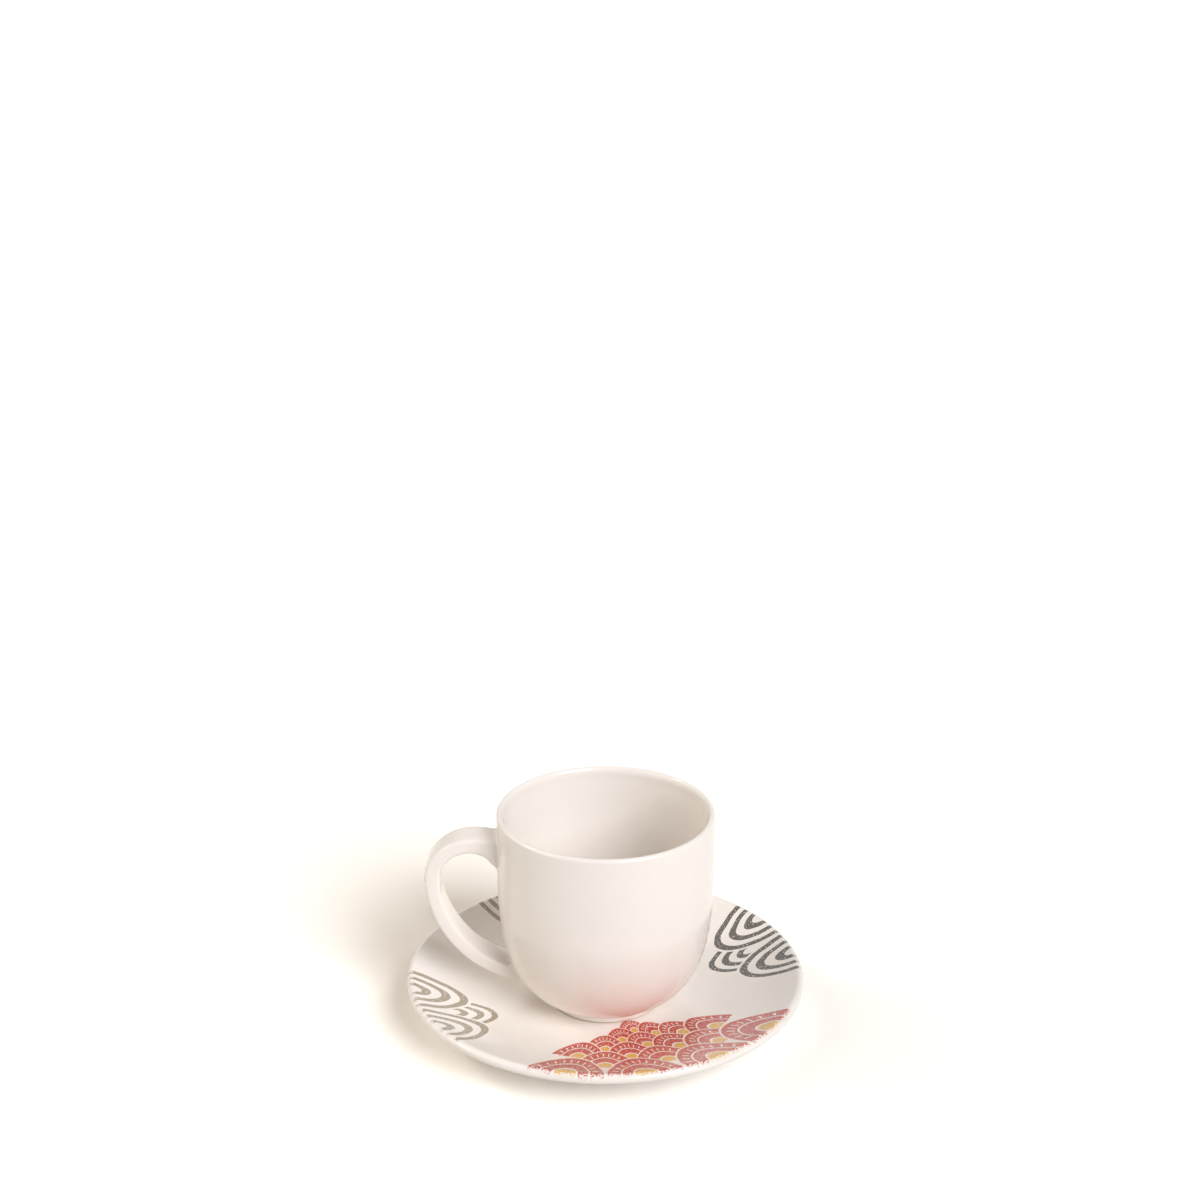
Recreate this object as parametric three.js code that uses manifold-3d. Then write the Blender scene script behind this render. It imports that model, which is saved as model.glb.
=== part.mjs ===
// A coffee cup on its saucer, in glazed stoneware: a round-bellied cup with a strap handle, standing in a
// coupe saucer. Millimetres, +Z up. The origin is on the saucer's axis, on the surface that it stands on,
// and the handle points along -X.
import * as THREE from "three";
import { mergeVertices } from "three/addons/utils/BufferGeometryUtils.js";
import Module from "manifold-3d";

// Saucer
const saucerRadius = 60;
const saucerHeight = 15.5; // table to the top of the rim
const saucerEdgeRadius = 1.5; // half the thickness of the rolled edge
const saucerRimSlope = 24; // degrees that the dish rises at the rim
const seatHeight = 6.8; // table to the flat that the cup stands on
const seatMargin = 4; // flat left round the cup's foot
const saucerBaseThickness = 4;
const saucerFootRadius = 32;
const saucerFootWidth = 3.4;
const saucerFootEdge = 0.5; // rounding of the foot ring's edges

// Cup bowl, with heights from the bottom of its foot
const cupRadius = 32.4;
const cupHeight = 62;
const wallThickness = 2.8;
const lipThickness = 2.2; // the wall thins to this under the lip
const lipTaper = 9; // height over which it thins
const lipOuterEdge = 1; // rounding of the lip's outer edge
const lipInnerDepth = 2.8; // how far down the softer inner edge runs
const floorThickness = 3.6;
const floorRadius = 12; // flat middle of the floor inside
const bellyBase = 0.5; // where the belly's curve would reach the axis
const bellyRise = 48.8; // from there up to where the side is upright
const bellyPower = 3.35; // 2 is an ellipse, more is squarer
const footRadius = 17;
const footWidth = 3;
const footRecess = 1.9; // hollow under the base, inside the foot ring
const footEdge = 1; // rounding of the foot ring's edges

// Handle, with its root heights at the middle of the strap
const upperRootDrop = 10.8; // below the rim
const lowerRootHeight = 9.8; // above the cup's foot
const handleReach = 19.4; // from the upright side to the outermost point of the strap's middle
const handleTipDrop = 9.7; // from the upper root down to that point
const upperRootAngle = 21.5; // degrees that the strap rises as it leaves the wall
const lowerRootAngle = 12.7;
const upperRootPull = 12.9; // how far each end of the two arcs runs before it bends
const upperTipPull = 5.8;
const lowerTipPull = 8.2;
const lowerRootPull = 20.1;
const handleWidth = 10.2;
const handleThickness = 4.55;
const strapPower = 6; // 2 is an ellipse, more is squarer
const upperFlareLength = 17; // stretch over which the strap swells towards the wall
const lowerFlareLength = 8;
const flarePower = 3; // more swells later and more suddenly
const upperInnerFlare = 2.3; // how much it swells there on the finger's side
const lowerInnerFlare = 3.2;
const outerFlare = 0.2;
const sideFlare = 0.25;
const tipSwell = 0.5; // extra thickness at the outermost bend, on the finger's side
const tipSwellLength = 6; // stretch over which it grows, each way
const slipThickness = 0.8;
const jointGap = 0.3; // left on both sides of the slip

// Fineness
const turnSteps = 56;
const curveSteps = 12;
const rimSteps = 8;
const footSteps = 2;
const strapSteps = 34;
const strapSides = 16;
const mergeTolerance = 1e-4; // points nearer than this are one

// Finish
const cupColour = 0xf6f1ec;
const handleColour = 0xf5f0ea;
const slipColour = 0xf2ebe4;
const saucerColour = 0xf0e8df;
const glazeRoughness = 0.35;
const slipRoughness = 0.4;

const wasm = await Module();
wasm.setup();

// A closed geometry as a solid that can be joined and cut.
function solidOf(geometry) {
  const bare = geometry.clone();
  bare.deleteAttribute("normal");
  bare.deleteAttribute("uv");
  const merged = mergeVertices(bare, mergeTolerance);
  const vertProperties = new Float32Array(merged.attributes.position.array);
  const triVerts = new Uint32Array(merged.index.array);
  return new wasm.Manifold(new wasm.Mesh({ numProp: 3, vertProperties, triVerts }));
}

function geometryOf(solid) {
  const mesh = solid.getMesh();
  const geometry = new THREE.BufferGeometry();
  geometry.setAttribute("position", new THREE.BufferAttribute(mesh.vertProperties, 3));
  geometry.setIndex(new THREE.BufferAttribute(mesh.triVerts, 1));
  geometry.computeVertexNormals();
  return geometry;
}

// A solid of revolution about Z from [radius, height] pairs that start and end on the axis.
function turned(profile) {
  const points = profile.map(([radius, height]) => new THREE.Vector2(radius, height));
  return new THREE.LatheGeometry(points, turnSteps).rotateX(Math.PI / 2);
}

// Points of an arc, both ends included, with angles in degrees from the outward direction.
function arc(centreRadius, centreHeight, radius, fromAngle, toAngle, steps) {
  const points = [];
  for (let i = 0; i <= steps; i++) {
    const angle = THREE.MathUtils.degToRad(THREE.MathUtils.lerp(fromAngle, toAngle, i / steps));
    points.push([centreRadius + radius * Math.cos(angle), centreHeight + radius * Math.sin(angle)]);
  }
  return points;
}

// A ring foot's bottom, from its inner wall round to its outer wall, standing at height 0.
function footRing(outerRadius, width, edge) {
  return [
    ...arc(outerRadius - width + edge, edge, edge, 180, 270, footSteps),
    ...arc(outerRadius - edge, edge, edge, 270, 360, footSteps),
  ];
}

// Saucer: the dish rises from a flat seat to a rolled edge, as a power curve that meets the edge smoothly.
const seatRadius = footRadius + seatMargin;
const rimCentre = saucerRadius - saucerEdgeRadius;
const rimCentreHeight = saucerHeight - saucerEdgeRadius;
const rimSlope = THREE.MathUtils.degToRad(saucerRimSlope);
const rimShift = saucerEdgeRadius * Math.sin(rimSlope);
const rimLift = saucerEdgeRadius * Math.cos(rimSlope);

// Height at a radius on a curve that starts level and ends at the rim's slope.
function risingTo(startRadius, startHeight, endRadius, endHeight) {
  const run = endRadius - startRadius;
  const rise = endHeight - startHeight;
  const power = (Math.tan(rimSlope) * run) / rise;
  return (radius) => startHeight + rise * (Math.max(radius - startRadius, 0) / run) ** power;
}

function sampled(heightAt, fromRadius, toRadius) {
  const points = [];
  for (let i = 0; i <= curveSteps; i++) {
    const radius = THREE.MathUtils.lerp(fromRadius, toRadius, i / curveSteps);
    points.push([radius, heightAt(radius)]);
  }
  return points;
}

function saucerGeometry() {
  const dishEnd = rimCentre - rimShift;
  const dish = risingTo(seatRadius, seatHeight, dishEnd, rimCentreHeight + rimLift);
  const backEnd = rimCentre + rimShift;
  const backStart = dish(saucerFootRadius) - saucerBaseThickness;
  const back = risingTo(saucerFootRadius, backStart, backEnd, rimCentreHeight - rimLift);
  const underside = seatHeight - saucerBaseThickness;
  return turned([
    [0, underside],
    [saucerFootRadius - saucerFootWidth, underside],
    ...footRing(saucerFootRadius, saucerFootWidth, saucerFootEdge),
    ...sampled(back, saucerFootRadius, backEnd).slice(0, -1),
    ...arc(rimCentre, rimCentreHeight, saucerEdgeRadius, saucerRimSlope - 90, saucerRimSlope + 90, rimSteps),
    ...sampled(dish, seatRadius, dishEnd).reverse().slice(1),
    [0, seatHeight],
  ]);
}

// Cup bowl: the belly is a squared ellipse under an upright side, inside and out.
const bellyTop = bellyBase + bellyRise;
const lipOuterHeight = cupHeight - lipOuterEdge;
const lipInnerHeight = cupHeight - lipInnerDepth;
const floorHeight = footRecess + floorThickness;

// The second coordinate of a squared quarter ellipse, where both coordinates are shares of its half axes.
function squaredEllipse(share) {
  return (1 - share ** bellyPower) ** (1 / bellyPower);
}

// Radius at a height on a curve that leaves the axis at its base and is upright from its top on.
function bellyRadius(height, fullRadius, base) {
  const depth = THREE.MathUtils.clamp((bellyTop - height) / (bellyTop - base), 0, 1);
  return fullRadius * squaredEllipse(depth);
}

function wallRadius(height) {
  return bellyRadius(height, cupRadius, bellyBase);
}

// Points up one side of the belly from a radius near the base, close where the curve is tight.
function bellySide(fullRadius, base, startRadius, endHeight) {
  const points = [];
  const startHeight = bellyTop - (bellyTop - base) * squaredEllipse(startRadius / fullRadius);
  for (let i = 0; i <= curveSteps; i++) {
    const height = THREE.MathUtils.lerp(startHeight, endHeight, (i / curveSteps) ** 2);
    points.push([bellyRadius(height, fullRadius, base), height]);
  }
  return points;
}

// Over the lip: a round outer edge, then a quarter ellipse that runs down the inside.
function lipEdge() {
  const crest = wallRadius(cupHeight) - lipOuterEdge;
  const innerWidth = lipThickness - lipOuterEdge;
  const outer = arc(crest, lipOuterHeight, lipOuterEdge, 0, 90, rimSteps / 2);
  const inner = arc(0, 0, 1, 90, 180, rimSteps / 2).map(([across, up]) => [
    crest + innerWidth * across,
    lipInnerHeight + lipInnerDepth * up,
  ]);
  return [...outer, ...inner.slice(1)];
}

function bowlGeometry() {
  const outside = bellySide(cupRadius, bellyBase, footRadius, lipOuterHeight);
  const insideRadius = cupRadius - wallThickness;
  const inside = bellySide(insideRadius, floorHeight, floorRadius, lipInnerHeight).map(([radius, height]) => {
    const share = Math.max(1 - (lipInnerHeight - height) / lipTaper, 0);
    return [radius + (wallThickness - lipThickness) * share ** 2, height];
  });
  return turned([
    [0, footRecess],
    [footRadius - footWidth, footRecess],
    ...footRing(footRadius, footWidth, footEdge),
    ...outside.slice(0, -1),
    ...lipEdge(),
    ...inside.reverse().slice(1),
    [0, floorHeight],
  ]);
}

// Everything within a distance of the bowl's outside, the hollow included, to cut what joins the wall.
function wallEnvelope(distance) {
  const outside = bellySide(cupRadius, bellyBase, footRadius, lipOuterHeight);
  const side = outside.map(([radius, height], i, all) => {
    const [lowRadius, lowHeight] = all[Math.max(i - 1, 0)];
    const [highRadius, highHeight] = all[Math.min(i + 1, all.length - 1)];
    const along = new THREE.Vector2(highRadius - lowRadius, highHeight - lowHeight).normalize();
    return [radius + along.y * distance, height - along.x * distance];
  });
  const [startRadius] = side[0];
  const [, endHeight] = side[side.length - 1];
  return solidOf(turned([[0, -rootDepth], [startRadius, -rootDepth], ...side, [0, endHeight]]));
}

// Handle: one flat strap along two arcs in the XZ plane, swelling where it meets the wall.
const upperRootHeight = cupHeight - upperRootDrop;
const strapMiddle = strapCentreline();
const strapLength = strapMiddle.getLength();
const tipDistance = strapMiddle.curves[0].getLength();
const rootDepth = handleThickness; // how far the uncut strap runs on into the wall

function outward(angleInDegrees, length) {
  const angle = THREE.MathUtils.degToRad(angleInDegrees);
  return new THREE.Vector3(-length * Math.cos(angle), 0, length * Math.sin(angle));
}

function strapCentreline() {
  const upperRoot = new THREE.Vector3(-wallRadius(upperRootHeight), 0, upperRootHeight);
  const lowerRoot = new THREE.Vector3(-wallRadius(lowerRootHeight), 0, lowerRootHeight);
  const tip = new THREE.Vector3(-cupRadius - handleReach, 0, upperRootHeight - handleTipDrop);
  const line = new THREE.CurvePath();
  line.add(
    new THREE.CubicBezierCurve3(
      upperRoot,
      upperRoot.clone().add(outward(upperRootAngle, upperRootPull)),
      tip.clone().add(new THREE.Vector3(0, 0, upperTipPull)),
      tip,
    ),
  );
  line.add(
    new THREE.CubicBezierCurve3(
      tip,
      tip.clone().sub(new THREE.Vector3(0, 0, lowerTipPull)),
      lowerRoot.clone().add(outward(lowerRootAngle, lowerRootPull)),
      lowerRoot,
    ),
  );
  return line;
}

// The ring of points round the strap at a distance along it, straight on past either end.
function strapRing(distance) {
  const kept = THREE.MathUtils.clamp(distance, 0, strapLength);
  const forward = strapMiddle.getTangent(kept / strapLength);
  const centre = strapMiddle.getPoint(kept / strapLength).addScaledVector(forward, distance - kept);
  const across = new THREE.Vector3(0, 1, 0);
  const through = new THREE.Vector3().crossVectors(forward, across);
  const isUpper = distance < strapLength / 2;
  const fromWall = isUpper ? distance : strapLength - distance;
  const flareLength = isUpper ? upperFlareLength : lowerFlareLength;
  const innerFlare = isUpper ? upperInnerFlare : lowerInnerFlare;
  const swell = (1 - THREE.MathUtils.clamp(fromWall / flareLength, 0, 1)) ** flarePower;
  const fromTip = Math.min(Math.abs(distance - tipDistance) / tipSwellLength, 1);
  const innerSwell = innerFlare * swell + tipSwell * (1 - fromTip ** 2) ** 2;
  const ring = [];
  for (let i = 0; i < strapSides; i++) {
    const angle = (2 * Math.PI * i) / strapSides;
    const side = Math.sign(Math.cos(angle)) * Math.abs(Math.cos(angle)) ** (2 / strapPower);
    const face = Math.sign(Math.sin(angle)) * Math.abs(Math.sin(angle)) ** (2 / strapPower);
    const faceSwell = face > 0 ? innerSwell : outerFlare * swell;
    const point = centre.clone();
    point.addScaledVector(across, side * (handleWidth / 2 + sideFlare * swell));
    point.addScaledVector(through, face * (handleThickness / 2 + faceSwell));
    ring.push(point);
  }
  return ring;
}

// A closed skin over rings of equally many points, with a flat cap on the first and the last ring.
function skinned(rings) {
  const sides = rings[0].length;
  const index = [];
  for (let r = 0; r + 1 < rings.length; r++) {
    for (let i = 0; i < sides; i++) {
      const a = r * sides + i;
      const b = r * sides + ((i + 1) % sides);
      index.push(a, b, a + sides, b, b + sides, a + sides);
    }
  }
  const last = (rings.length - 1) * sides;
  for (let i = 1; i + 1 < sides; i++) {
    index.push(0, i + 1, i);
    index.push(last, last + i, last + i + 1);
  }
  const geometry = new THREE.BufferGeometry().setFromPoints(rings.flat());
  geometry.setIndex(index);
  return geometry;
}

function strap(from, to) {
  const steps = Math.ceil(((to - from) / strapLength) * strapSteps);
  const rings = [];
  for (let i = 0; i <= steps; i++) {
    rings.push(strapRing(THREE.MathUtils.lerp(from, to, i / steps)));
  }
  return solidOf(skinned(rings));
}

function handleGeometry() {
  const whole = strap(-rootDepth, strapLength + rootDepth);
  return geometryOf(whole.subtract(wallEnvelope(slipThickness + 2 * jointGap)));
}

// The slip under one end of the strap: the layer between the wall and the handle's cut end.
function slipGeometry(from, to) {
  const layer = wallEnvelope(slipThickness + jointGap).subtract(wallEnvelope(jointGap));
  return geometryOf(strap(from, to).intersect(layer));
}

function glazed(name, geometry, colour, roughness) {
  const material = new THREE.MeshStandardMaterial({ color: colour, roughness, metalness: 0 });
  const mesh = new THREE.Mesh(geometry, material);
  mesh.name = name;
  return mesh;
}

const upperSlip = slipGeometry(-rootDepth, upperFlareLength);
const lowerSlip = slipGeometry(strapLength - lowerFlareLength, strapLength + rootDepth);

const cup = new THREE.Group();
cup.add(glazed("cup_bowl", bowlGeometry(), cupColour, glazeRoughness));
cup.add(glazed("cup_handle", handleGeometry(), handleColour, glazeRoughness));
cup.add(glazed("upper_handle_slip", upperSlip, slipColour, slipRoughness));
cup.add(glazed("lower_handle_slip", lowerSlip, slipColour, slipRoughness));
cup.position.z = seatHeight;

const cupAndSaucer = new THREE.Group();
cupAndSaucer.add(glazed("saucer", saucerGeometry(), saucerColour, glazeRoughness));
cupAndSaucer.add(cup);

export default cupAndSaucer;
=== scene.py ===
import bisect
import bpy
import math
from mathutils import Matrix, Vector
from mathutils.geometry import interpolate_bezier


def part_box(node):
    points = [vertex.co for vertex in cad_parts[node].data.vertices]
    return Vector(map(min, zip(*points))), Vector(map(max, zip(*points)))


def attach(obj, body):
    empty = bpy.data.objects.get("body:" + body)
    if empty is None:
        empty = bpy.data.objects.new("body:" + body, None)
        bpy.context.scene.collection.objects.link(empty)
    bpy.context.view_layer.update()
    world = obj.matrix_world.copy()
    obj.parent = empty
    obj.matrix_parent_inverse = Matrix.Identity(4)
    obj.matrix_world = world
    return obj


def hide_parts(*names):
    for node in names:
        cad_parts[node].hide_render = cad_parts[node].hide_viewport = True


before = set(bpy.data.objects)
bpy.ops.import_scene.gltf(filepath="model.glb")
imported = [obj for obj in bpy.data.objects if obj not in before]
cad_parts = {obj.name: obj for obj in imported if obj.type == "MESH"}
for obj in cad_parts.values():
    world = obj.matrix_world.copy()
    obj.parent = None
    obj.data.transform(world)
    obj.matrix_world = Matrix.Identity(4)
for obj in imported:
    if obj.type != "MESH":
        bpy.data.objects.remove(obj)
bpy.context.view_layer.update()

# A coffee cup on its saucer in glazed stoneware. Lengths below are millimetres, turned to metres at the mesh.
mm = 0.001


def linearColour(hexText):
    channels = [int(hexText[i:i + 2], 16) / 255 for i in (1, 3, 5)]
    return [c / 12.92 if c <= 0.04045 else ((c + 0.055) / 1.055) ** 2.4 for c in channels] + [1.0]


# Sockets go by name or number. A Mix takes numbers on 2 and 3 and colours on 6 and 7. A Map Range takes the
# range it reads on 1 and 2, and the range it gives on 3 and 4.
def addNode(tree, kind, links=None, **settings):
    node = tree.nodes.new(kind)
    for name, value in settings.items():
        setattr(node, name, value)
    for socket, source in (links or {}).items():
        if isinstance(source, bpy.types.Node):
            source = next(output for output in source.outputs if output.enabled)
        if isinstance(source, bpy.types.NodeSocket):
            tree.links.new(source, node.inputs[socket])
        else:
            node.inputs[socket].default_value = source
    return node


def addPiece(name, points, faces, material, sharpEdges=()):
    mesh = bpy.data.meshes.new(name)
    mesh.from_pydata([Vector(p) * mm for p in points], [], faces)
    mesh.shade_smooth()
    if sharpEdges:
        sharp = {frozenset(edge) for edge in sharpEdges}
        for edge in mesh.edges:
            edge.use_edge_sharp = frozenset(edge.vertices) in sharp
    mesh.materials.append(material)
    piece = bpy.data.objects.new(name, mesh)
    bpy.context.scene.collection.objects.link(piece)
    return piece


# Profiles are (radius, height) pairs that start and end on the axis, from the underside round to the top.
def turnedPiece(name, profile, steps, lift, material):
    points, faces, rings = [], [], []
    for radius, height in profile:
        count = steps if radius > 1e-6 else 1
        rings.append([len(points) + i for i in range(count)])
        for i in range(count):
            angle = 2 * math.pi * i / steps
            points.append((radius * math.cos(angle), radius * math.sin(angle), height + lift))
    for low, high in zip(rings, rings[1:]):
        for i in range(steps):
            j = (i + 1) % steps
            if len(low) == 1:
                faces.append((low[0], high[j], high[i]))
            elif len(high) == 1:
                faces.append((low[i], low[j], high[0]))
            else:
                faces.append((low[i], low[j], high[j], high[i]))
    return addPiece(name, points, faces, material)


def arcPoints(centreRadius, centreHeight, radius, fromAngle, toAngle, steps=10):
    points = []
    for i in range(steps + 1):
        angle = math.radians(fromAngle + (toAngle - fromAngle) * i / steps)
        points.append((centreRadius + radius * math.cos(angle), centreHeight + radius * math.sin(angle)))
    return points


def cornerPoints(start, corner, end, steps=8):
    points = []
    for i in range(steps + 1):
        t = i / steps
        weights = ((1 - t) ** 2, 2 * t * (1 - t), t * t)
        points.append(tuple(sum(w * p[k] for w, p in zip(weights, (start, corner, end))) for k in (0, 1)))
    return points


# Hollow under the base, with a soft inner corner, and the foot ring down to its outer wall.
def footPoints(recess, outerRadius, width, edge, corner, edgeSteps=6):
    innerRadius = outerRadius - width
    points = [(0, recess)]
    points += arcPoints(innerRadius - corner, recess - corner, corner, 90, 0)
    points += arcPoints(innerRadius + edge, edge, edge, 180, 270, edgeSteps)
    points += arcPoints(outerRadius - edge, edge, edge, 270, 360, edgeSteps)
    return points


# Stoneware dipped in a satin cream glaze and fired: an even warm white with soft-edged highlights, slight
# clouds where the glaze lies thicker, faint iron specks, and a wiped foot that shows matt buff clay.
glazeLook = {
    "thin": "#F6F1EC",
    "thick": "#F2EBE4",
    "speck": "#CDB79C",
    "clay": "#CBB293",
    "cloudSize": 16,            # mm across one cloud
    "speckSpacing": 1.6,        # mm between specks
    "speckSize": (0.03, 0.09),  # shares of the spacing: a speck's solid middle and soft edge
    "speckStrength": 0.28,
    "rippleSize": 9,            # mm, slow waves from dipping
    "rippleHeight": 0.02,
    "peelSize": 1.7,            # mm, fine unevenness of the fired surface
    "peelHeight": 0.0022,
    "gritSize": 0.35,           # mm, sand in the bare clay
    "gritHeight": 0.05,
    "bareFoot": 0.42,           # mm of the foot that is wiped bare
    "bareWaver": 0.3,           # mm that the wiped edge wavers by
    "bareFade": 0.12,           # mm over which the glaze ends
    "roughness": 0.15,
    "roughnessSpread": 0.05,
    "clayRoughness": 0.88,
    "ior": 1.52,
}


def glazedStoneware(name, footHeight, decorate=None):
    look = glazeLook
    material = bpy.data.materials.new(name)
    material.use_nodes = True
    tree = material.node_tree
    tree.nodes.clear()
    coords = addNode(tree, "ShaderNodeTexCoord")
    place = addNode(tree, "ShaderNodeVectorMath", {0: coords.outputs["Object"], 3: 1 / mm}, operation="SCALE")

    cloud = addNode(tree, "ShaderNodeTexNoise", {
        "Vector": place, "Scale": 1 / look["cloudSize"], "Detail": 3.0})
    colour = addNode(tree, "ShaderNodeMix", {
        0: cloud, 6: linearColour(look["thin"]), 7: linearColour(look["thick"])}, data_type="RGBA")
    specks = addNode(tree, "ShaderNodeTexVoronoi", {"Vector": place, "Scale": 1 / look["speckSpacing"]})
    solid, faded = look["speckSize"]
    speckMask = addNode(tree, "ShaderNodeMapRange", {
        0: specks, 1: solid, 2: faded, 3: look["speckStrength"], 4: 0.0})
    colour = addNode(tree, "ShaderNodeMix", {0: speckMask, 6: colour, 7: linearColour(look["speck"])},
                     data_type="RGBA")
    if decorate:
        colour = decorate(tree, place, colour)

    # the wiped foot
    height = addNode(tree, "ShaderNodeSeparateXYZ", {0: place}).outputs["Z"]
    grit = addNode(tree, "ShaderNodeTexNoise", {
        "Vector": place, "Scale": 1 / look["gritSize"], "Detail": 2.0})
    bareEdge = footHeight / mm + look["bareFoot"]
    wavyHeight = addNode(tree, "ShaderNodeMath", {0: cloud, 1: look["bareWaver"], 2: height},
                         operation="MULTIPLY_ADD")
    bare = addNode(tree, "ShaderNodeMapRange", {
        0: wavyHeight, 1: bareEdge, 2: bareEdge + look["bareFade"], 3: 1.0, 4: 0.0})
    clayTone = addNode(tree, "ShaderNodeMix", {
        0: grit, 6: linearColour(look["clay"]), 7: linearColour(look["speck"])}, data_type="RGBA")
    colour = addNode(tree, "ShaderNodeMix", {0: bare, 6: colour, 7: clayTone}, data_type="RGBA")

    halfSpread = look["roughnessSpread"] / 2
    gloss = addNode(tree, "ShaderNodeMapRange", {
        0: cloud, 3: look["roughness"] - halfSpread, 4: look["roughness"] + halfSpread})
    roughness = addNode(tree, "ShaderNodeMix", {0: bare, 2: gloss, 3: look["clayRoughness"]},
                        data_type="FLOAT")

    # relief: slow waves, fine unevenness, and sand on the bare foot
    ripple = addNode(tree, "ShaderNodeTexNoise", {
        "Vector": place, "Scale": 1 / look["rippleSize"], "Detail": 1.0})
    peel = addNode(tree, "ShaderNodeTexNoise", {
        "Vector": place, "Scale": 1 / look["peelSize"], "Detail": 2.0})
    waves = addNode(tree, "ShaderNodeMath", {0: ripple, 1: look["rippleHeight"]}, operation="MULTIPLY")
    waves = addNode(tree, "ShaderNodeMath", {0: peel, 1: look["peelHeight"], 2: waves},
                    operation="MULTIPLY_ADD")
    sand = addNode(tree, "ShaderNodeMath", {0: grit, 1: bare}, operation="MULTIPLY")
    relief = addNode(tree, "ShaderNodeMath", {0: sand, 1: look["gritHeight"], 2: waves},
                     operation="MULTIPLY_ADD")
    bump = addNode(tree, "ShaderNodeBump", {"Height": relief, "Strength": 1.0, "Distance": mm})

    shader = addNode(tree, "ShaderNodeBsdfPrincipled", {
        "Base Color": colour, "Roughness": roughness, "Normal": bump, "IOR": look["ior"], "Metallic": 0.0})
    addNode(tree, "ShaderNodeOutputMaterial", {"Surface": shader})
    return material


# Underglaze print on the saucer: four clusters of overlapping scallops hang from the rim. The large one is
# cut from coral with ochre hearts, the others are line drawings in warm greys. Scallops keep their
# proportions and shrink towards the middle, so the drawing follows the dish.
scallopPrint = {
    "coral": "#BD2C12",
    "paleCoral": "#C6482E",
    "ochre": "#E3AC38",
    "greys": ("#524D45", "#A08F78"),
    "edge": 59.8,              # mm, the rim's turn, where the ink breaks up
    "fade": 1.8,               # mm over which it breaks up
    "perTurn": 16,
    "rowRatio": 0.83,          # radius of one row over that of the row outside it
    "clusters": 4,
    "firstCluster": -67.5,     # degrees round the saucer to the middle of the coral cluster
    "coralRows": 6,
    "greyRows": 2,
    "coralWidth": 4,           # scallops in a cluster's outermost row
    "greyWidth": 2,
    "taper": 0.4,              # scallops less in each row further in
    "nicks": 11,               # cut across the border of one coral scallop
    "nickWidth": 0.2,          # share of the border that they take
    "nickBand": (0.68, 0.84),  # shares of a scallop's radius, as are the bands of ink
    "heart": 0.3,
    "coralBands": ((0.0, 1), (0.28, 0), (0.33, 1), (0.58, 0), (0.625, 1), (0.955, 0)),
    "greyBands": ((0.0, 0), (0.17, 1), (0.31, 0), (0.47, 1), (0.62, 0), (0.78, 1), (0.93, 0)),
    "wobbleSize": 7,           # mm, hand-cut unevenness of the drawing
    "wobble": 1.0,
    "rowContrast": 0.4,        # how much paler every second row is
    "toneRange": (0.3, 1.1),   # from the full coral to the pale one
    "grainSize": 0.55,         # mm, pinholes in the ink
    "grainRange": (0.28, 0.38),  # noise from a pinhole to closed ink
    "cover": (0.1, 0.97),      # ink left in a pinhole, and in closed ink
    "wear": 0.4,               # how far the grain opens at the rim
}


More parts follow.
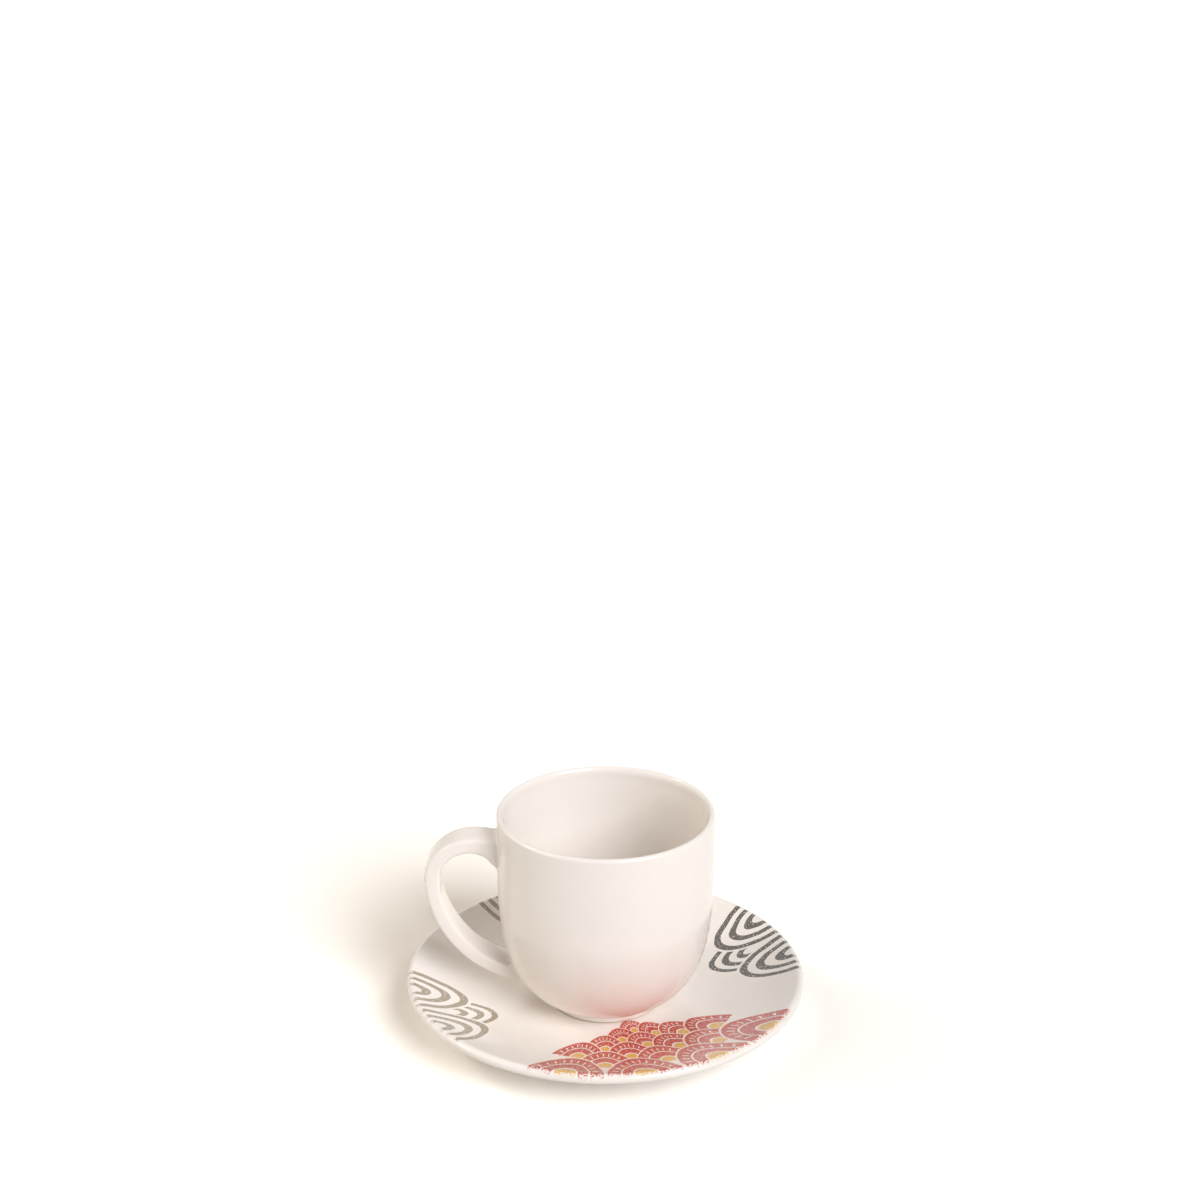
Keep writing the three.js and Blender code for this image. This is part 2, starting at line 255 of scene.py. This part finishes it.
def printScallops(tree, place, glaze):
    look = scallopPrint
    perCluster = look["perTurn"] / look["clusters"]
    clusterShift = 0.5 - look["firstCluster"] / 360 * look["clusters"]

    # a hand's wobble on the drawing, then polar places: columns round the turn, rows in from the edge
    sway = addNode(tree, "ShaderNodeTexNoise", {
        "Vector": place, "Scale": 1 / look["wobbleSize"], "Detail": 1.0})
    sway = addNode(tree, "ShaderNodeVectorMath", {0: sway.outputs["Color"], 1: (0.5, 0.5, 0.5)},
                   operation="SUBTRACT")
    drawn = addNode(tree, "ShaderNodeVectorMath", {0: sway, 1: (look["wobble"],) * 3, 2: place},
                    operation="MULTIPLY_ADD")
    flat = addNode(tree, "ShaderNodeVectorMath", {0: drawn, 1: (1, 1, 0)}, operation="MULTIPLY")
    radius = addNode(tree, "ShaderNodeVectorMath", {0: flat}, operation="LENGTH").outputs["Value"]
    axes = addNode(tree, "ShaderNodeSeparateXYZ", {0: flat})
    angle = addNode(tree, "ShaderNodeMath", {0: axes.outputs["Y"], 1: axes.outputs["X"]}, operation="ARCTAN2")
    column = addNode(tree, "ShaderNodeMath", {0: angle, 1: look["perTurn"] / (2 * math.pi)},
                     operation="MULTIPLY")
    inside = addNode(tree, "ShaderNodeMath", {0: radius, 1: look["edge"]}, operation="DIVIDE")
    depth = addNode(tree, "ShaderNodeMath", {0: inside, 1: look["rowRatio"]}, operation="LOGARITHM")
    rowHere = addNode(tree, "ShaderNodeMath", {0: depth}, operation="FLOOR")

    # a scallop is two rows deep, and the tip of the row outside lies over the base of the row here
    tries = []
    for rowShift in (-1, 0):
        row = addNode(tree, "ShaderNodeMath", {0: rowHere, 1: rowShift}, operation="ADD")
        odd = addNode(tree, "ShaderNodeMath", {0: row, 1: 2.0}, operation="FLOORED_MODULO")
        staggered = addNode(tree, "ShaderNodeMath", {0: odd, 1: 0.5, 2: column}, operation="MULTIPLY_ADD")
        cell = addNode(tree, "ShaderNodeMath", {0: staggered}, operation="FLOOR")
        across = addNode(tree, "ShaderNodeMath", {0: staggered, 1: cell}, operation="SUBTRACT")
        side = addNode(tree, "ShaderNodeMath", {0: across, 1: 2.0, 2: -1.0}, operation="MULTIPLY_ADD")
        inward = addNode(tree, "ShaderNodeMath", {0: depth, 1: row}, operation="SUBTRACT")
        inward = addNode(tree, "ShaderNodeMath", {0: inward, 1: 0.5}, operation="MULTIPLY")
        local = addNode(tree, "ShaderNodeCombineXYZ", {0: side, 1: inward})
        reach = addNode(tree, "ShaderNodeVectorMath", {0: local}, operation="LENGTH").outputs["Value"]

        # which cluster the scallop's middle falls in, and how many columns from the cluster's middle
        middle = addNode(tree, "ShaderNodeMath", {0: odd, 1: -0.5, 2: cell}, operation="MULTIPLY_ADD")
        middle = addNode(tree, "ShaderNodeMath", {0: middle, 1: 0.5}, operation="ADD")
        share = addNode(tree, "ShaderNodeMath", {0: middle, 1: 1 / perCluster, 2: clusterShift},
                        operation="MULTIPLY_ADD")
        cluster = addNode(tree, "ShaderNodeMath", {0: share}, operation="FLOOR")
        offset = addNode(tree, "ShaderNodeMath", {0: share, 1: cluster}, operation="SUBTRACT")
        offset = addNode(tree, "ShaderNodeMath", {0: offset, 1: perCluster, 2: -perCluster / 2},
                         operation="MULTIPLY_ADD")
        offset = addNode(tree, "ShaderNodeMath", {0: offset}, operation="ABSOLUTE")
        colour = addNode(tree, "ShaderNodeMath", {0: cluster, 1: float(look["clusters"])},
                         operation="FLOORED_MODULO")
        isGrey = addNode(tree, "ShaderNodeMath", {0: colour, 1: 0.5}, operation="GREATER_THAN")
        width = addNode(tree, "ShaderNodeMix", {
            0: isGrey, 2: float(look["coralWidth"]), 3: float(look["greyWidth"])}, data_type="FLOAT")
        width = addNode(tree, "ShaderNodeMath", {0: row, 1: -look["taper"], 2: width},
                        operation="MULTIPLY_ADD")
        width = addNode(tree, "ShaderNodeMath", {0: width, 1: 0.5}, operation="MULTIPLY")
        inCluster = addNode(tree, "ShaderNodeMath", {0: offset, 1: width}, operation="LESS_THAN")
        rows = addNode(tree, "ShaderNodeMix", {0: isGrey, 2: look["coralRows"] / 2, 3: look["greyRows"] / 2},
                       data_type="FLOAT")
        rowMiddle = addNode(tree, "ShaderNodeMath", {0: rows, 1: 0.5}, operation="SUBTRACT")
        inRows = addNode(tree, "ShaderNodeMath", {0: row, 1: rowMiddle, 2: rows}, operation="COMPARE")
        inShape = addNode(tree, "ShaderNodeMath", {0: reach, 1: 1.0}, operation="LESS_THAN")
        shown = addNode(tree, "ShaderNodeMath", {0: inCluster, 1: inRows}, operation="MULTIPLY")
        shown = addNode(tree, "ShaderNodeMath", {0: shown, 1: inShape}, operation="MULTIPLY")
        tries.append({"reach": reach, "side": side, "inward": inward, "odd": odd, "colour": colour,
                      "shown": shown})
    tip, base = tries
    pick = {}
    for key in ("reach", "side", "inward", "odd", "colour"):
        pick[key] = addNode(tree, "ShaderNodeMix", {0: tip["shown"], 2: base[key], 3: tip[key]},
                            data_type="FLOAT")
    shown = addNode(tree, "ShaderNodeMath", {0: tip["shown"], 1: base["shown"]}, operation="MAXIMUM")
    isGrey = addNode(tree, "ShaderNodeMath", {0: pick["colour"], 1: 0.5}, operation="GREATER_THAN")
    isLastGrey = addNode(tree, "ShaderNodeMath", {0: pick["colour"], 1: 1.5}, operation="GREATER_THAN")

    # bands inside a scallop
    masks = []
    for bands in (look["coralBands"], look["greyBands"]):
        ramp = addNode(tree, "ShaderNodeValToRGB", {0: pick["reach"]})
        ramp.color_ramp.interpolation = "CONSTANT"
        stops = ramp.color_ramp.elements
        while len(stops) < len(bands):
            stops.new(1.0)
        for stop, (position, value) in zip(stops, bands):
            stop.position = position
            stop.color = (value, value, value, 1.0)
        masks.append(ramp)

    # short nicks cut across the border of the coral scallops
    fan = addNode(tree, "ShaderNodeMath", {0: pick["inward"], 1: pick["side"]}, operation="ARCTAN2")
    fan = addNode(tree, "ShaderNodeMath", {0: fan, 1: look["nicks"] / math.pi}, operation="MULTIPLY")
    fan = addNode(tree, "ShaderNodeMath", {0: fan, 1: 0.5}, operation="PINGPONG")
    nick = addNode(tree, "ShaderNodeMath", {0: fan, 1: look["nickWidth"] / 2}, operation="LESS_THAN")
    low, high = look["nickBand"]
    border = addNode(tree, "ShaderNodeMath", {0: pick["reach"], 1: (low + high) / 2, 2: (high - low) / 2},
                     operation="COMPARE")
    nick = addNode(tree, "ShaderNodeMath", {0: nick, 1: border}, operation="MULTIPLY")
    coralMask = addNode(tree, "ShaderNodeMath", {0: masks[0], 1: nick}, operation="SUBTRACT", use_clamp=True)
    mask = addNode(tree, "ShaderNodeMix", {0: isGrey, 2: coralMask, 3: masks[1]}, data_type="FLOAT")
    mask = addNode(tree, "ShaderNodeMath", {0: mask, 1: shown}, operation="MULTIPLY")

    # inks, a little uneven in strength, open in the grain and broken at the rim, on the upper side only
    tone = addNode(tree, "ShaderNodeTexNoise", {
        "Vector": place, "Scale": 1 / look["wobbleSize"], "Detail": 4.0})
    tone = addNode(tree, "ShaderNodeMath", {0: pick["odd"], 1: look["rowContrast"], 2: tone},
                   operation="MULTIPLY_ADD")
    full, pale = look["toneRange"]
    tone = addNode(tree, "ShaderNodeMapRange", {0: tone, 1: full, 2: pale})
    ink = addNode(tree, "ShaderNodeMix", {
        0: tone, 6: linearColour(look["coral"]), 7: linearColour(look["paleCoral"])}, data_type="RGBA")
    isHeart = addNode(tree, "ShaderNodeMath", {0: pick["reach"], 1: look["heart"]}, operation="LESS_THAN")
    ink = addNode(tree, "ShaderNodeMix", {0: isHeart, 6: ink, 7: linearColour(look["ochre"])},
                  data_type="RGBA")
    for isNext, grey in zip((isGrey, isLastGrey), look["greys"]):
        ink = addNode(tree, "ShaderNodeMix", {0: isNext, 6: ink, 7: linearColour(grey)}, data_type="RGBA")
    grain = addNode(tree, "ShaderNodeTexNoise", {
        "Vector": place, "Scale": 1 / look["grainSize"], "Detail": 1.0})
    worn = addNode(tree, "ShaderNodeMapRange", {
        0: radius, 1: look["edge"] - look["fade"], 2: look["edge"], 3: 0.0, 4: look["wear"]})
    grain = addNode(tree, "ShaderNodeMath", {0: grain, 1: worn}, operation="SUBTRACT")
    openGrain, closedGrain = look["grainRange"]
    leastInk, mostInk = look["cover"]
    cover = addNode(tree, "ShaderNodeMapRange", {
        0: grain, 1: openGrain, 2: closedGrain, 3: leastInk, 4: mostInk})
    coords = addNode(tree, "ShaderNodeTexCoord")
    normal = addNode(tree, "ShaderNodeSeparateXYZ", {0: coords.outputs["Normal"]})
    upper = addNode(tree, "ShaderNodeMath", {0: normal.outputs["Z"], 1: 0.0}, operation="GREATER_THAN")
    mask = addNode(tree, "ShaderNodeMath", {0: mask, 1: cover}, operation="MULTIPLY")
    mask = addNode(tree, "ShaderNodeMath", {0: mask, 1: upper}, operation="MULTIPLY")
    return addNode(tree, "ShaderNodeMix", {0: mask, 6: glaze, 7: ink}, data_type="RGBA")


# Saucer: a flat seat, a dish that rises to a rolled edge, and a ring foot
saucerShape = {
    "radius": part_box("saucer")[1][0] / mm,
    "height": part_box("saucer")[1][2] / mm,
    "seatHeight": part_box("cup_bowl")[0][2] / mm,
    "seatRadius": 21,
    "seatRings": (0.85, 0.6, 0.3, 0),   # shares of the seat's radius
    "edgeRadius": 1.5,
    "rimSlope": 24,         # degrees
    "baseThickness": 4,
    "footRadius": 32,
    "footWidth": 3.4,
    "footEdge": 0.5,
    "corner": 1.3,          # glaze-filled corners beside the foot ring
    "turnSteps": 256,
    "curveSteps": 44,
    "edgeSteps": 20,
}


def makeSaucer(material):
    s = saucerShape
    slope = math.radians(s["rimSlope"])
    rimRadius = s["radius"] - s["edgeRadius"]
    rimHeight = s["height"] - s["edgeRadius"]
    shift = s["edgeRadius"] * math.sin(slope)
    liftAtRim = s["edgeRadius"] * math.cos(slope)

    # height on a curve that starts level and ends at the rim's slope
    def rising(radius, start, end):
        run, rise = end[0] - start[0], end[1] - start[1]
        return start[1] + rise * (max(radius - start[0], 0) / run) ** (math.tan(slope) * run / rise)

    dishStart = (s["seatRadius"], s["seatHeight"])
    dishEnd = (rimRadius - shift, rimHeight + liftAtRim)
    backStart = (s["footRadius"], rising(s["footRadius"], dishStart, dishEnd) - s["baseThickness"])
    backEnd = (rimRadius + shift, rimHeight - liftAtRim)

    def curve(start, end, fromRadius):
        radii = [fromRadius + (end[0] - fromRadius) * i / s["curveSteps"] for i in range(s["curveSteps"] + 1)]
        return [(radius, rising(radius, start, end)) for radius in radii]

    underside = s["seatHeight"] - s["baseThickness"]
    profile = footPoints(underside, s["footRadius"], s["footWidth"], s["footEdge"], s["corner"])
    cornerEnd = s["footRadius"] + s["corner"]
    profile += cornerPoints((s["footRadius"], backStart[1] - s["corner"]), backStart,
                            (cornerEnd, rising(cornerEnd, backStart, backEnd)))
    profile += curve(backStart, backEnd, cornerEnd)[1:-1]
    profile += arcPoints(rimRadius, rimHeight, s["edgeRadius"], s["rimSlope"] - 90, s["rimSlope"] + 90,
                         s["edgeSteps"])
    profile += curve(dishStart, dishEnd, s["seatRadius"])[-2::-1]
    profile += [(s["seatRadius"] * share, s["seatHeight"]) for share in s["seatRings"]]
    return turnedPiece("saucer_body", profile, s["turnSteps"], 0, material)


# Cup bowl: heights are from the bottom of its foot
bowlShape = {
    "radius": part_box("cup_bowl")[1][0] / mm,
    "height": (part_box("cup_bowl")[1][2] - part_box("cup_bowl")[0][2]) / mm,
    "wall": 2.8,
    "lip": 2.2,             # the wall thins to this under the lip
    "lipTaper": 9,
    "lipOuterEdge": 1.0,
    "lipInnerDepth": 2.8,   # the softer inner edge runs this far down
    "floor": 3.6,
    "bellyBase": 0.5,
    "bellyRise": 48.8,
    "bellyPower": 3.35,     # 2 is an ellipse, more is squarer
    "footRadius": 17,
    "footWidth": 3,
    "footRecess": 1.9,
    "footEdge": 1.0,
    "corner": 0.6,
    "turnSteps": 224,
    "curveSteps": 56,
    "uprightSteps": 8,
    "lipSteps": 16,
}
bellyTop = bowlShape["bellyBase"] + bowlShape["bellyRise"]


def squaredEllipse(share):
    return (1 - min(max(share, 0), 1) ** bowlShape["bellyPower"]) ** (1 / bowlShape["bellyPower"])


def wallRadius(height):
    return bowlShape["radius"] * squaredEllipse((bellyTop - height) / bowlShape["bellyRise"])


def makeBowl(material):
    s = bowlShape
    lipOuterHeight = s["height"] - s["lipOuterEdge"]
    lipInnerHeight = s["height"] - s["lipInnerDepth"]
    lipCrest = s["radius"] - s["lipOuterEdge"]

    # from a radius near the base up the belly, then straight on up
    def side(fullRadius, base, startRadius, endHeight):
        startShare = startRadius / fullRadius
        startTurn = math.asin(startShare ** (s["bellyPower"] / 2))
        points = []
        for i in range(s["curveSteps"]):
            turn = startTurn + (math.pi / 2 - startTurn) * i / s["curveSteps"]
            radius = fullRadius * math.sin(turn) ** (2 / s["bellyPower"])
            points.append((radius, bellyTop - (bellyTop - base) * math.cos(turn) ** (2 / s["bellyPower"])))
        for i in range(s["uprightSteps"] + 1):
            points.append((fullRadius, bellyTop + (endHeight - bellyTop) * i / s["uprightSteps"]))
        return points

    profile = footPoints(s["footRecess"], s["footRadius"], s["footWidth"], s["footEdge"], s["corner"])
    outside = side(s["radius"], s["bellyBase"], s["footRadius"], lipOuterHeight)
    cornerEnd = next(i for i, point in enumerate(outside) if point[0] > s["footRadius"] + s["corner"])
    profile += cornerPoints((s["footRadius"], outside[0][1] - s["corner"]), outside[0], outside[cornerEnd])
    profile += outside[cornerEnd + 1:-1]
    profile += arcPoints(lipCrest, lipOuterHeight, s["lipOuterEdge"], 0, 90)
    for across, up in arcPoints(0, 0, 1, 90, 180, s["lipSteps"])[1:]:
        profile.append((lipCrest + (s["lip"] - s["lipOuterEdge"]) * across,
                        lipInnerHeight + s["lipInnerDepth"] * up))
    inside = side(s["radius"] - s["wall"], s["footRecess"] + s["floor"], 0, lipInnerHeight)
    for radius, height in inside[-2::-1]:
        thinning = max(1 - (lipInnerHeight - height) / s["lipTaper"], 0) ** 2
        profile.append((radius + (s["wall"] - s["lip"]) * thinning, height))
    return turnedPiece("cup_bowl_body", profile, s["turnSteps"], saucerShape["seatHeight"], material)


# Handle: a flat strap along two arcs, thicker towards both roots, with a small fillet where it meets the wall
handleShape = {
    "upperRoot": 51.2,      # heights above the cup's foot
    "lowerRoot": 9.8,
    "tip": 41.5,
    "reach": 19.4,          # from the upright side to the strap's middle at its tip
    "upperAngle": 21.5,     # degrees that the strap rises as it leaves the wall
    "lowerAngle": 12.7,
    "pulls": (12.9, 5.8, 8.2, 20.1),   # how far each end of the two arcs runs before it bends
    "width": 10.2,
    "thickness": 4.55,
    "sectionPower": 6,      # 2 is an ellipse, more is squarer
    "flarePower": 3,        # more swells later and more suddenly
    "upperFlare": {"length": 17, "inner": 2.3, "outer": 0.2, "side": 0.25},
    "lowerFlare": {"length": 8, "inner": 3.2, "outer": 0.2, "side": 0.25},
    "tipSwell": 0.5,        # extra thickness at the outermost bend, on the finger's side
    "tipSwellLength": 6,
    "upperFillet": {"length": 3.2, "inner": 2.0, "outer": 0.9, "side": 0.8},
    "lowerFillet": {"length": 3.0, "inner": 1.6, "outer": 0.9, "side": 0.8},
    "sink": 0.04,           # the fillet's edge lies this far under the glaze of the wall
    "rootDepth": 1.2,
    "rootSearch": 3,        # thicknesses from a root within which the wall is looked for
    "halvings": 40,         # of that stretch, until the wall is found
    "linePoints": (300, 500),   # measured along the upper and the lower arc
    "sides": 72,
    "strapSteps": 110,
    "filletSteps": 18,
}


def makeHandle(material):
    s = handleShape
    lift = saucerShape["seatHeight"]
    across = Vector((0, 1, 0))
    up = Vector((0, 0, 1))

    def outward(angle, length):
        return Vector((-length * math.cos(math.radians(angle)), 0, length * math.sin(math.radians(angle))))

    upper = Vector((-wallRadius(s["upperRoot"]), 0, s["upperRoot"]))
    lower = Vector((-wallRadius(s["lowerRoot"]), 0, s["lowerRoot"]))
    tip = Vector((-bowlShape["radius"] - s["reach"], 0, s["tip"]))
    pulls = s["pulls"]
    upperCount, lowerCount = s["linePoints"]
    line = interpolate_bezier(upper, upper + outward(s["upperAngle"], pulls[0]),
                              tip + up * pulls[1], tip, upperCount)
    line += interpolate_bezier(tip, tip - up * pulls[2],
                               lower + outward(s["lowerAngle"], pulls[3]), lower, lowerCount)[1:]
    distances = [0.0]
    for before, after in zip(line, line[1:]):
        distances.append(distances[-1] + (after - before).length)
    tipDistance = distances[upperCount - 1]
    length = distances[-1]

    # middle and direction of the strap at a distance from its upper root, straight on past either end
    def along(distance):
        i = min(max(bisect.bisect_left(distances, distance), 1), len(line) - 2)
        forward = (line[i + 1] - line[i - 1]).normalized()
        return line[i] + forward * (distance - distances[i]), forward

    section = []
    power = 2 / s["sectionPower"]
    for i in range(s["sides"]):
        turn = 2 * math.pi * i / s["sides"]
        section.append([math.copysign(abs(v) ** power, v) for v in (math.cos(turn), math.sin(turn))])

    # one point of the section at a distance along the strap, pushed out by a share of a fillet
    def skinPoint(distance, side, face, fillet=None):
        centre, forward = along(distance)
        through = forward.cross(across)
        isUpper = distance < length / 2
        flare = s["upperFlare"] if isUpper else s["lowerFlare"]
        fromWall = distance if isUpper else length - distance
        near = 1 - min(max(fromWall / flare["length"], 0), 1)
        swell = near ** s["flarePower"]
        fromTip = min(abs(distance - tipDistance) / s["tipSwellLength"], 1)
        facing = "inner" if face > 0 else "outer"
        halfWidth = s["width"] / 2 + flare["side"] * swell
        halfThickness = s["thickness"] / 2 + flare[facing] * swell
        if face > 0:
            halfThickness += s["tipSwell"] * (1 - fromTip ** 2) ** 2
        if fillet:
            halfWidth += fillet["side"]
            halfThickness += fillet[facing]
        return centre + across * side * halfWidth + through * face * halfThickness

    def outsideWall(point):
        return math.hypot(point.x, point.y) - wallRadius(point.z)

    # where a path from outside the wall to inside it crosses the wall
    def crossing(path, outer, inner):
        for _ in range(s["halvings"]):
            middle = (outer + inner) / 2
            outer, inner = (middle, inner) if outsideWall(path(middle)) > 0 else (outer, middle)
        return outer

    def sunk(point, depth):
        share = 1 - depth / math.hypot(point.x, point.y)
        return Vector((point.x * share, point.y * share, point.z))

    # rings from the strap round the fillet to its edge on the wall, and on into the wall
    def root(end, towardsWall, fillet):
        start = end - fillet["length"] * towardsWall
        reach = s["rootSearch"] * s["thickness"] * towardsWall
        columns = []
        for side, face in section:
            meet = crossing(lambda d: skinPoint(d, side, face), start, end + reach)
            corner = skinPoint(meet, side, face)
            wide = skinPoint(meet, side, face, fillet)
            forward = along(meet)[1]
            edge = wide + forward * crossing(lambda d: wide + forward * d, -reach, reach)
            edge = sunk(edge, s["sink"])
            column = []
            for i in range(1, s["filletSteps"] + 1):
                turn = math.pi / 2 * i / s["filletSteps"]
                point = skinPoint(start + (meet - start) * math.sin(turn), side, face)
                column.append(point + (edge - corner) * (1 - math.cos(turn)))
            columns.append(column + [sunk(edge, s["rootDepth"])])
        return [list(ring) for ring in zip(*columns)]

    first = s["upperFillet"]["length"]
    last = length - s["lowerFillet"]["length"]
    rings = root(0, -1, s["upperFillet"])[::-1]
    for i in range(s["strapSteps"] + 1):
        distance = first + (last - first) * i / s["strapSteps"]
        rings.append([skinPoint(distance, side, face) for side, face in section])
    rings += root(length, 1, s["lowerFillet"])

    sides = s["sides"]
    points = [point + up * lift for one in rings for point in one]
    faces = []
    for r in range(len(rings) - 1):
        for i in range(sides):
            a, b = r * sides + i, r * sides + (i + 1) % sides
            faces.append((a, b, b + sides, a + sides))
    faces.append(tuple(range(sides - 1, -1, -1)))
    faces.append(tuple(range((len(rings) - 1) * sides, len(rings) * sides)))
    sharpRings = (1, len(rings) - 2)
    sharpEdges = [(r * sides + i, r * sides + (i + 1) % sides) for r in sharpRings for i in range(sides)]
    return addPiece("cup_handle_strap", points, faces, material, sharpEdges)


saucerGlaze = glazedStoneware("printed_satin_glazed_stoneware", 0.0, printScallops)
cupGlaze = glazedStoneware("satin_glazed_stoneware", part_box("cup_bowl")[0][2])
print("stage: glazes made")

saucerBody = makeSaucer(saucerGlaze)
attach(saucerBody, "saucer")
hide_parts("saucer")

bowlBody = makeBowl(cupGlaze)
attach(bowlBody, "cup")
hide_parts("cup_bowl")

handleStrap = makeHandle(cupGlaze)
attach(handleStrap, "cup")
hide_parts("cup_handle", "upper_handle_slip", "lower_handle_slip")
print("stage: saucer, bowl and handle made")


# Stage: uncoated white paper, matt and even. It is seen brighter than it reflects, so that it reads white
# where it is fully lit and keeps the shadow, and a white world lies beyond it.
stageLook = {
    "floorSize": 30.0,    # m
    "paper": "#DDDBD7",
    "seenBrighter": 1.9,
    "ambient": 0.05,
    "ambientColour": "#FFE0C0",
}


# 1 for rays that look at a thing directly, in a mirror or through glass
def seenDirectly(tree):
    rays = addNode(tree, "ShaderNodeLightPath")
    seen = addNode(tree, "ShaderNodeMath", {
        0: rays.outputs["Is Camera Ray"], 1: rays.outputs["Is Glossy Ray"]}, operation="MAXIMUM")
    return addNode(tree, "ShaderNodeMath", {0: seen, 1: rays.outputs["Is Transmission Ray"]},
                   operation="MAXIMUM")


def makeStage():
    look = stageLook
    half = look["floorSize"] / 2
    mesh = bpy.data.meshes.new("floor")
    corners = [(-half, -half, 0), (half, -half, 0), (half, half, 0), (-half, half, 0)]
    mesh.from_pydata(corners, [], [(0, 1, 2, 3)])
    floor = bpy.data.objects.new("floor", mesh)
    bpy.context.scene.collection.objects.link(floor)
    material = bpy.data.materials.new("matt_white_paper")
    material.use_nodes = True
    tree = material.node_tree
    tree.nodes.clear()
    brightness = addNode(tree, "ShaderNodeMapRange", {
        0: seenDirectly(tree), 3: 1.0, 4: look["seenBrighter"]})
    colour = addNode(tree, "ShaderNodeVectorMath", {0: linearColour(look["paper"])[:3], 3: brightness},
                     operation="SCALE")
    paper = addNode(tree, "ShaderNodeBsdfDiffuse", {"Color": colour})
    addNode(tree, "ShaderNodeOutputMaterial", {"Surface": paper})
    mesh.materials.append(material)

    world = bpy.data.worlds.new("studio")
    bpy.context.scene.world = world
    world.use_nodes = True
    tree = world.node_tree
    tree.nodes.clear()
    soft = addNode(tree, "ShaderNodeBackground", {
        "Color": linearColour(look["ambientColour"]), "Strength": look["ambient"]})
    white = addNode(tree, "ShaderNodeBackground", {"Color": (1, 1, 1, 1), "Strength": 1.0})
    mixed = addNode(tree, "ShaderNodeMixShader", {0: seenDirectly(tree), 1: soft, 2: white})
    addNode(tree, "ShaderNodeOutputWorld", {"Surface": mixed})


# Lamps: compass angle from +X round to +Y and height, in degrees, strength, and softness in degrees across
lamps = {
    "key_softbox": {"angle": -54, "height": 35, "strength": 2.84, "softness": 34, "colour": "#FBFCFF"},
    "left_reflector": {"angle": 176, "height": 21, "strength": 1.5, "softness": 80, "colour": "#FFF7ED"},
    "back_fill": {"angle": 60, "height": 42, "strength": 0.45, "softness": 100, "colour": "#FFF6EA"},
    "left_striplight": {"angle": 170, "height": 41, "strength": 0.4, "softness": 8, "colour": "#FFF7ED"},
}


def makeLamps():
    for name, look in lamps.items():
        light = bpy.data.lights.new(name, "SUN")
        light.energy = look["strength"]
        light.angle = math.radians(look["softness"])
        light.color = linearColour(look["colour"])[:3]
        lamp = bpy.data.objects.new(name, light)
        lamp.rotation_euler = (0, math.radians(90 - look["height"]), math.radians(look["angle"]))
        bpy.context.scene.collection.objects.link(lamp)


# Camera: distance and height of view to the middle of the saucer's rim, and where that point lies in the
# photograph's square frame
cameraView = {
    "aimHeight": 14.0,    # mm
    "distance": 720.0,    # mm
    "elevation": 29.79,   # degrees
    "focalPixels": 2338.9,
    "aimPixel": (605.49, 973.77),
    "photoSize": 1200,
    "sensor": 36.0,
}


def makeCamera():
    view = cameraView
    elevation = math.radians(view["elevation"])
    right = (view["aimPixel"][0] - view["photoSize"] / 2) / view["focalPixels"]
    down = (view["aimPixel"][1] - view["photoSize"] / 2) / view["focalPixels"]
    pitch = elevation - math.atan(down)
    yaw = math.atan(right / (math.cos(pitch) - down * math.sin(pitch)))
    data = bpy.data.cameras.new("photo_camera")
    data.sensor_width = view["sensor"]
    data.lens = view["focalPixels"] * view["sensor"] / view["photoSize"]
    camera = bpy.data.objects.new("photo_camera", data)
    camera.location = Vector((0, -view["distance"] * math.cos(elevation),
                              view["aimHeight"] + view["distance"] * math.sin(elevation))) * mm
    camera.rotation_euler = (math.pi / 2 - pitch, 0, yaw)
    bpy.context.scene.collection.objects.link(camera)
    bpy.context.scene.camera = camera


makeStage()
makeLamps()
makeCamera()
bpy.context.scene.view_settings.view_transform = "Standard"
print("stage: floor, lamps and camera set")
